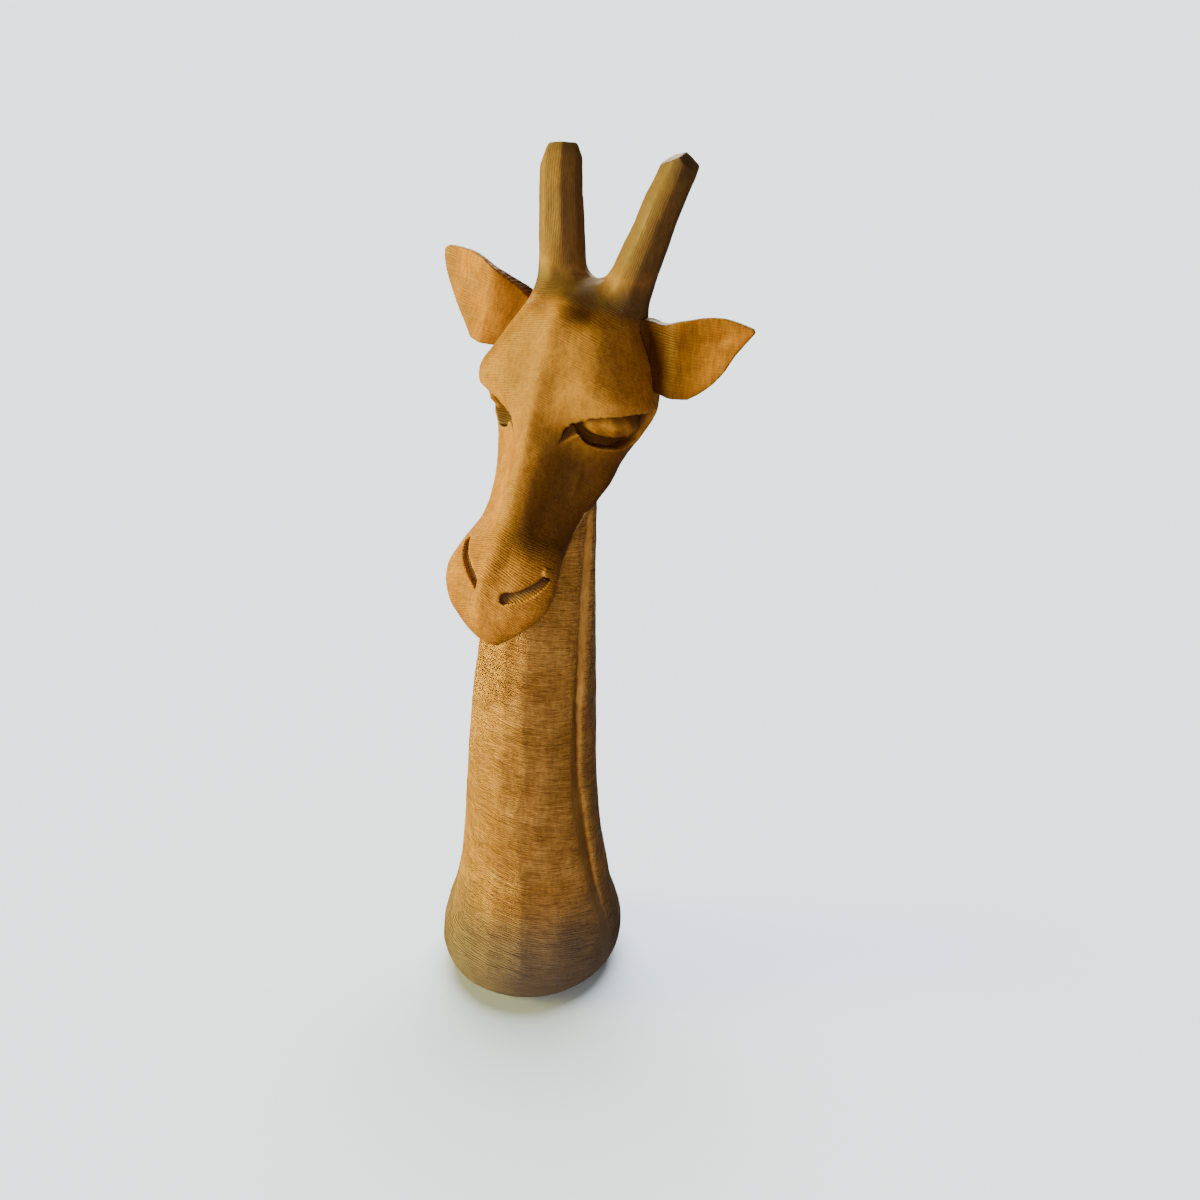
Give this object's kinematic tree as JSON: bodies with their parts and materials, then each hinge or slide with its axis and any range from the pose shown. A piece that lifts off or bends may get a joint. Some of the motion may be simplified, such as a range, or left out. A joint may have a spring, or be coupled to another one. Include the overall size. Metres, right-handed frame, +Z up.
{
  "type": "carved giraffe statue",
  "caption": "Hand-carved wooden giraffe head on a long neck with a flared foot, leaf-shaped ears and faceted horns, standing free on its flat base",
  "frame": {"origin": "middle of the flat underside of the foot", "axes": "+Z up along the neck, the giraffe faces -Y, its left side is +X, x = 0 is its plane of symmetry"},
  "size_m": [0.2528, 0.1735, 0.6462],
  "materials": {
    "neck_wood": "hand-carved with fine cross-grain tool strokes, thin satin wax",
    "head_wood": "hand-carved and scraped, soft satin wax",
    "ear_wood": "knife-cut, warm orange-brown, satin wax",
    "dowel_wood": "plain turned hardwood, glued"
  },
  "bodies": {
    "root": {"neck_trunk": "neck_wood", "head_block": "head_wood", "left_ear": "ear_wood", "right_ear": "ear_wood", "neck_dowel_front": "dowel_wood", "neck_dowel_rear": "dowel_wood", "left_ear_pin": "dowel_wood", "right_ear_pin": "dowel_wood"}
  },
  "joints": []
}
